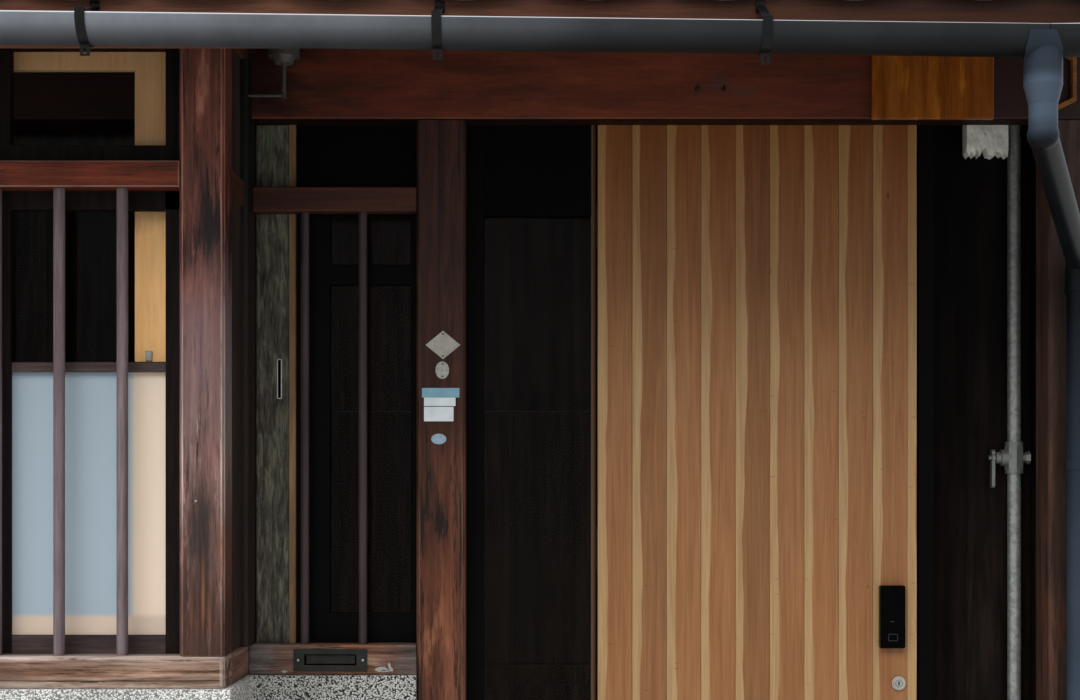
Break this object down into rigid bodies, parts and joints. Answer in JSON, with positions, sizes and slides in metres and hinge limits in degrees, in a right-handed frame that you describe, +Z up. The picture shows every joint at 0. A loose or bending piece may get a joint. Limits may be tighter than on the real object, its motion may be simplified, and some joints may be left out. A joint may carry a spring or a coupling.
{
  "type": "machiya townhouse street front",
  "caption": "Ground-floor street front of a timber townhouse: barred bay window, barred side window, hinged board door with a side light, tiled pent roof with gutter, and plain party-wall ends.",
  "frame": {"origin": "bottom centre of the whole part's box, on the ground", "axes": "+X to the right along the street front, +Y into the house, +Z up"},
  "size_m": [3.301, 1.8254, 2.891],
  "materials": {
    "granite": "rough dressed granite",
    "pebble_dash": "washed aggregate of dark and pale pebbles",
    "worn_timber": "bengala-stained timber worn through in places",
    "stained_timber": "dark reddish-brown stained timber",
    "painted_bars": "mauve-brown paint",
    "black_frames": "black stain, satin",
    "frosted_glass": "frosted",
    "clear_glass": "clear",
    "light_wood": "planed light wood",
    "rough_panel": "rough mossy boarding",
    "cedar": "oiled cedar with pale sapwood",
    "lock_black": "gloss black",
    "polished_steel": "satin",
    "letter_metal": "dull dark green-grey",
    "dark_boards": "dark weathered boards",
    "galvanised_steel": "dull galvanised",
    "plaster": "lime plaster",
    "varnished_wood": "orange varnish",
    "porcelain": "grey glaze",
    "roof_timber": "dark rafters and boards",
    "roof_tile": "smoked silver-grey tile",
    "gutter_paint": "dark blue-grey",
    "bracket_black": "black"
  },
  "bodies": {
    "house": {"foundation_stones": "granite", "threshold": "granite", "bay_base_front": "pebble_dash", "bay_base_sides": "pebble_dash", "middle_base": "pebble_dash", "bay_sill": "worn_timber", "bay_side_sills": "worn_timber", "middle_sill": "worn_timber", "bay_posts": "worn_timber", "middle_post": "worn_timber", "party_posts": "stained_timber", "main_beam": "stained_timber", "bay_head_rail": "stained_timber", "bay_side_rails": "stained_timber", "bay_rail": "stained_timber", "middle_rail": "stained_timber", "window_bars": "painted_bars", "bay_lower_sash": "black_frames", "bay_frosted_glass": "frosted_glass", "bay_upper_sash": "black_frames", "clear_glass": "clear_glass", "bay_inner_frame": "light_wood", "bay_side_boards": "painted_bars", "rough_panel": "rough_panel", "trim_strip": "light_wood", "middle_window_frame": "black_frames", "transom_boards": "black_frames", "entrance_frame": "black_frames", "frame_hinge_leaves": "polished_steel", "letter_frame": "letter_metal", "board_wall": "dark_boards", "gas_pipe": "galvanised_steel", "gas_cock": "galvanised_steel", "plaster_remnant": "plaster", "varnished_board": "varnished_wood", "octagonal_frame": "light_wood", "porcelain_fitting": "porcelain", "party_walls": "plaster", "party_wall_rails": "stained_timber", "rear_wall": "dark_boards", "ceiling": "roof_timber", "fascia": "stained_timber", "rafters": "roof_timber", "eave_boards": "roof_timber", "roof_boards": "roof_timber", "roof_tiles": "roof_tile", "roof_cap": "roof_tile", "gutter": "gutter_paint", "gutter_brackets": "bracket_black", "downpipe": "gutter_paint"},
    "entrance_door": {"door_boards": "cedar", "door_ledges": "cedar", "door_hinge_leaves": "polished_steel", "lock_unit": "lock_black", "lock_cylinder": "polished_steel"},
    "letter_flap": {"letter_flap": "letter_metal"},
    "gas_lever": {"gas_lever": "galvanised_steel"}
  },
  "joints": [
    {"name": "entrance_door_hinge", "type": "hinge", "parent": "house", "child": "entrance_door", "pos_m": [0.403, -0.035, 0], "axis": [0, 0, 1], "range_deg": [0, 90]},
    {"name": "letter_flap_hinge", "type": "hinge", "parent": "house", "child": "letter_flap", "pos_m": [-0.2655, -0.153, 1.0733], "axis": [1, 0, 0], "range_deg": [0, 75]},
    {"name": "gas_lever_turn", "type": "hinge", "parent": "house", "child": "gas_lever", "pos_m": [1.4625, -0.018, 1.572], "axis": [-1, 0, 0], "range_deg": [0, 90]}
  ]
}
